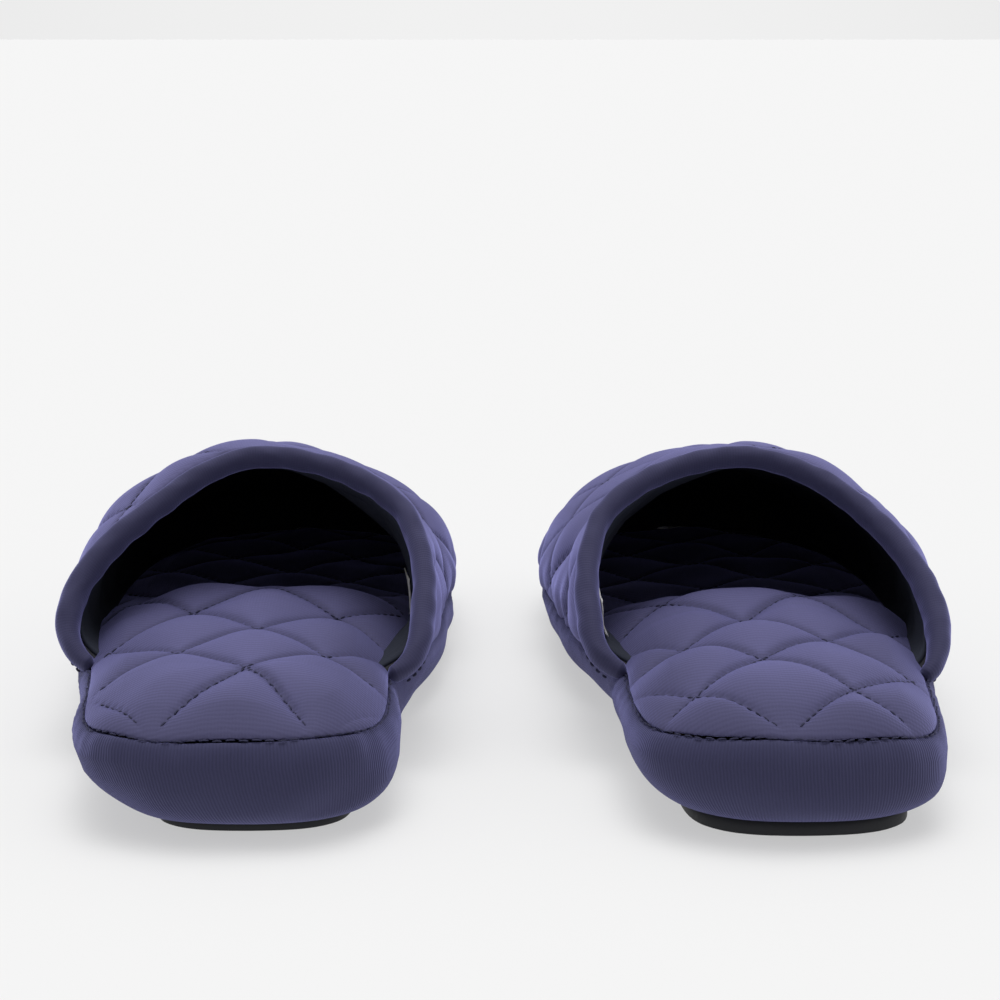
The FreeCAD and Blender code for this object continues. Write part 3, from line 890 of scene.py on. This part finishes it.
def tint(material, shader, color, amount, spread_by, ridges=None, ridge_depth=0.0):
    """Colour that drifts by the amount, and is darker between the ridges of the fabric."""
    level = calculate(material, "MULTIPLY_ADD", spread_by, 2.0 * amount)
    level.node.inputs[2].default_value = 1.0 - amount
    if ridges is not None:
        shade = calculate(material, "MULTIPLY_ADD", ridges, ridge_depth)
        shade.node.inputs[2].default_value = 1.0 - ridge_depth
        level = calculate(material, "MULTIPLY", level, shade)
    scaled = add_node(material, "ShaderNodeVectorMath", {0: color, "Scale": level}, operation="SCALE")
    material.node_tree.links.new(scaled.outputs[0], shader.inputs["Base Color"])


def raise_bumps(material, shader, height, distance, strength):
    values = {"Height": height, "Distance": distance, "Strength": strength}
    bump = add_node(material, "ShaderNodeBump", values)
    material.node_tree.links.new(bump.outputs[0], shader.inputs["Normal"])


def fabric(name, color, roughness, sheen, rows, depth, strength, drift=0.08, ridge_depth=0.15,
           painted_shade=0.0):
    """A knit: rows is a list of (axis on the cloth, pitch in mm, weight, wander in pitches).

    Where the cloth's z marks painted shade, in the quilting grooves and along the footbed's edge, the
    colour is darker by that share.
    """
    material, shader = principled(name, color, roughness, sheen)
    cloth = add_node(material, "ShaderNodeAttribute", attribute_name="cloth").outputs["Vector"]
    axes = add_node(material, "ShaderNodeSeparateXYZ", {0: cloth})
    where = add_node(material, "ShaderNodeTexCoord").outputs["Object"]
    drifting = noise(material, where, 45.0, 4.0)
    wander = noise(material, where, 350.0, 2.0)
    total = None
    for axis, pitch, weight, loose in rows:
        turns = calculate(material, "MULTIPLY", axes.outputs[axis], 2 * math.pi / pitch)
        shift = calculate(material, "MULTIPLY", wander, 2 * math.pi * loose)
        wave = calculate(material, "SINE", calculate(material, "ADD", turns, shift))
        part = calculate(material, "MULTIPLY_ADD", wave, weight / 2)
        part.node.inputs[2].default_value = weight / 2
        total = part if total is None else calculate(material, "ADD", total, part)
    # Painted shade: the base colour is scaled down where cloth z marks the grooves and the footbed's edge.
    if painted_shade:
        painted_shade_scale = calculate(material, "MULTIPLY_ADD", axes.outputs["Z"], -painted_shade)
        painted_shade_scale.node.inputs[2].default_value = 1.0
        scaled = add_node(material, "ShaderNodeVectorMath", {0: color, "Scale": painted_shade_scale}, operation="SCALE")
        color = scaled.outputs[0]
    fuzz = noise(material, where, 2600.0, 3.0)
    ridges = calculate(material, "ADD", total, calculate(material, "MULTIPLY", fuzz, 0.35))
    tint(material, shader, color, drift, drifting, calculate(material, "MINIMUM", ridges, 1.0), ridge_depth)
    raise_bumps(material, shader, ridges, depth, strength)
    return material


def plain_material(name, color, roughness, scale, drift, depth, strength):
    """Rubber, foam, thread: an even stuff with a fine grain."""
    material, shader = principled(name, color, roughness)
    where = add_node(material, "ShaderNodeTexCoord").outputs["Object"]
    grain = noise(material, where, scale, 3.0)
    tint(material, shader, color, drift, noise(material, where, scale / 30.0, 3.0), grain, 0.2)
    raise_bumps(material, shader, grain, depth, strength)
    return material


INDIGO = (0.104, 0.100, 0.218)
# The collar and rib colours are the quilted indigo darkened: painted shade for the collar roll and the
# platform walls, which face away from the light above.
COLLAR_INDIGO_SHADED = (0.044, 0.043, 0.096)
RIB_INDIGO_SHADED = (0.042, 0.042, 0.096)
LINING_BLACK = (0.028, 0.032, 0.048)
OUTSOLE_BLACK = (0.026, 0.027, 0.031)
SHEEN = 0.6

# The quilted knit carries painted shade in its grooves and along the footbed's edge.
quilted = fabric("quilted_knit", INDIGO, 0.75, SHEEN * 1.2,
                 [("Y", 1.15, 0.6, 0.9), ("X", 0.8, 0.3, 0.6)], 0.00014, 0.5, painted_shade=0.42)
ribbed = fabric("ribbed_knit", RIB_INDIGO_SHADED, 0.8, SHEEN * 0.8,
                [("X", RIB_PITCH, 1.0, 0.35)], 0.0002, 0.5, drift=0.1, ridge_depth=0.2)
binding = fabric("binding_knit", COLLAR_INDIGO_SHADED, 0.78, SHEEN * 1.2,
                 [("X", 0.9, 0.5, 0.5), ("Y", 0.8, 0.3, 0.5)], 0.00012, 0.5)
lining_cloth = plain_material("dark_lining", LINING_BLACK, 0.95, 2600.0, 0.15, 0.0002, 0.5)
rubber = plain_material("outsole_rubber", OUTSOLE_BLACK, 0.55, 1800.0, 0.1, 0.00012, 0.6)
foam = plain_material("dark_foam", (0.03, 0.03, 0.035), 0.9, 1500.0, 0.1, 0.0002, 0.5)
board = plain_material("fibre_board", (0.20, 0.15, 0.10), 0.9, 1200.0, 0.12, 0.0001, 0.4)
sewing_thread = plain_material("sewing_thread", (0.036, 0.036, 0.078), 0.7, 4000.0, 0.2, 0.0001, 0.6)
label_cloth = plain_material("label_cloth", (0.72, 0.71, 0.69), 0.8, 3000.0, 0.04, 0.0001, 0.5)


# ---- The pair ---------------------------------------------------------------------------

def finish_piece(piece, side, material, slot, *nodes):
    piece.data.materials.append(material)
    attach(piece, BODY[side])
    if nodes:
        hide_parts(*nodes)


for side in TURN:
    cover, padding, thread = make_footbed(side)
    finish_piece(cover, side, quilted, "quilted_knit", side + "_footbed_cover")
    finish_piece(padding, side, foam, "padding", side + "_footbed_padding")
    finish_piece(thread, side, sewing_thread, "thread", side + "_footbed_quilt_thread")
    edge_thread = make_edge_thread(side)
    finish_piece(edge_thread, side, sewing_thread, "thread", side + "_footbed_edge_thread")
    wrap = make_wrap(side)
    finish_piece(wrap, side, ribbed, "ribbed_knit", side + "_platform_wrap")
    finish_piece(make_block(side), side, foam, "platform_foam", side + "_platform_foam")
    finish_piece(make_board(side), side, board, "insole_board", side + "_insole_board")
    finish_piece(make_outsole(side), side, rubber, "outsole_rubber", side + "_outsole")
    shell, upper_padding, lining, upper_thread, label = make_upper(side)
    finish_piece(shell, side, quilted, "quilted_knit", side + "_upper_shell")
    finish_piece(upper_padding, side, foam, "padding", side + "_upper_padding")
    finish_piece(lining, side, lining_cloth, "dark_lining", side + "_upper_lining")
    finish_piece(upper_thread, side, sewing_thread, "thread", side + "_upper_quilt_thread")
    finish_piece(label, side, label_cloth, "label", side + "_care_label")
    roll, core, seam_thread = make_collar(side)
    finish_piece(roll, side, binding, "binding_knit", side + "_collar_binding")
    finish_piece(core, side, foam, "padding", side + "_collar_core")
    finish_piece(seam_thread, side, sewing_thread, "thread", side + "_collar_seam_thread")


# ---- Stage, light and camera ----------------------------------------------------------------

CAMERA_BACK = 482.0         # behind the heels, mm
CAMERA_HEIGHT = 187.0
CAMERA_SIDE = -3.4
CAMERA_PITCH = 12.0
CAMERA_LENS = 79.2

# strength of the light from above, from all round and from each side, and of the far wall
LIGHT_OVERHEAD = 7.2
LIGHT_AROUND = 0.18
LIGHT_RIGHT = 1.0
LIGHT_LEFT = 0.8
BACKGROUND_WHITE = 0.879
FLOOR_WHITE = (0.36, 0.36, 0.36)
FLOOR_GLOW = 0.49           # the table is lit from below as well

floor_mesh = bpy.data.meshes.new("floor")
reach = 60.0
floor_mesh.from_pydata([(-reach, -reach, 0), (reach, -reach, 0), (reach, reach, 0), (-reach, reach, 0)],
                       [], [(0, 1, 2, 3)])
floor = bpy.data.objects.new("floor", floor_mesh)
bpy.context.scene.collection.objects.link(floor)
floor_material, floor_shader = principled("floor", FLOOR_WHITE, 0.9)
floor_shader.inputs["Specular IOR Level"].default_value = 0.0
floor_shader.inputs["Emission Color"].default_value = (1.0, 1.0, 1.0, 1.0)
floor_shader.inputs["Emission Strength"].default_value = FLOOR_GLOW
floor.data.materials.append(floor_material)

world = bpy.data.worlds.new("studio")
bpy.context.scene.world = world
world.use_nodes = True
links = world.node_tree.links
background = world.node_tree.nodes["Background"]
direction = world.node_tree.nodes.new("ShaderNodeTexCoord")
parts = world.node_tree.nodes.new("ShaderNodeSeparateXYZ")
links.new(direction.outputs["Generated"], parts.inputs["Vector"])


def world_math(operation, first, second):
    node = world.node_tree.nodes.new("ShaderNodeMath")
    node.operation = operation
    for socket, value in zip(node.inputs, (first, second)):
        if isinstance(value, (int, float)):
            socket.default_value = value
        else:
            links.new(value, socket)
    return node.outputs[0]


overhead = world_math("POWER", world_math("MAXIMUM", parts.outputs["Z"], 0.0), 16.0)
behind = world_math("POWER", world_math("MAXIMUM", parts.outputs["Y"], 0.0), 3.0)
to_right = world_math("POWER", world_math("MAXIMUM", parts.outputs["X"], 0.0), 3.0)
leftward = world_math("MULTIPLY", parts.outputs["X"], -1.0)
to_left = world_math("POWER", world_math("MAXIMUM", leftward, 0.0), 3.0)
glow = world_math("ADD", world_math("MULTIPLY", overhead, LIGHT_OVERHEAD), LIGHT_AROUND)
glow = world_math("ADD", glow, world_math("MULTIPLY", behind, BACKGROUND_WHITE - LIGHT_AROUND))
glow = world_math("ADD", glow, world_math("MULTIPLY", to_right, LIGHT_RIGHT))
glow = world_math("ADD", glow, world_math("MULTIPLY", to_left, LIGHT_LEFT))
grey = world.node_tree.nodes.new("ShaderNodeCombineColor")
for name in ("Red", "Green", "Blue"):
    links.new(glow, grey.inputs[name])
links.new(grey.outputs["Color"], background.inputs["Color"])

camera_data = bpy.data.cameras.new("camera")
camera_data.lens = CAMERA_LENS
camera_data.sensor_width = 36.0
camera_data.clip_end = 300.0
camera = bpy.data.objects.new("camera", camera_data)
middle_x = (HEEL_PLACE["left"][0] + HEEL_PLACE["right"][0]) / 2
middle_y = (HEEL_PLACE["left"][1] + HEEL_PLACE["right"][1]) / 2
camera.location = Vector((middle_x + CAMERA_SIDE, middle_y - CAMERA_BACK, CAMERA_HEIGHT)) * MM
camera.rotation_euler = (math.radians(90.0 - CAMERA_PITCH), 0.0, 0.0)
bpy.context.scene.collection.objects.link(camera)
bpy.context.scene.camera = camera
bpy.context.scene.view_settings.view_transform = "Standard"
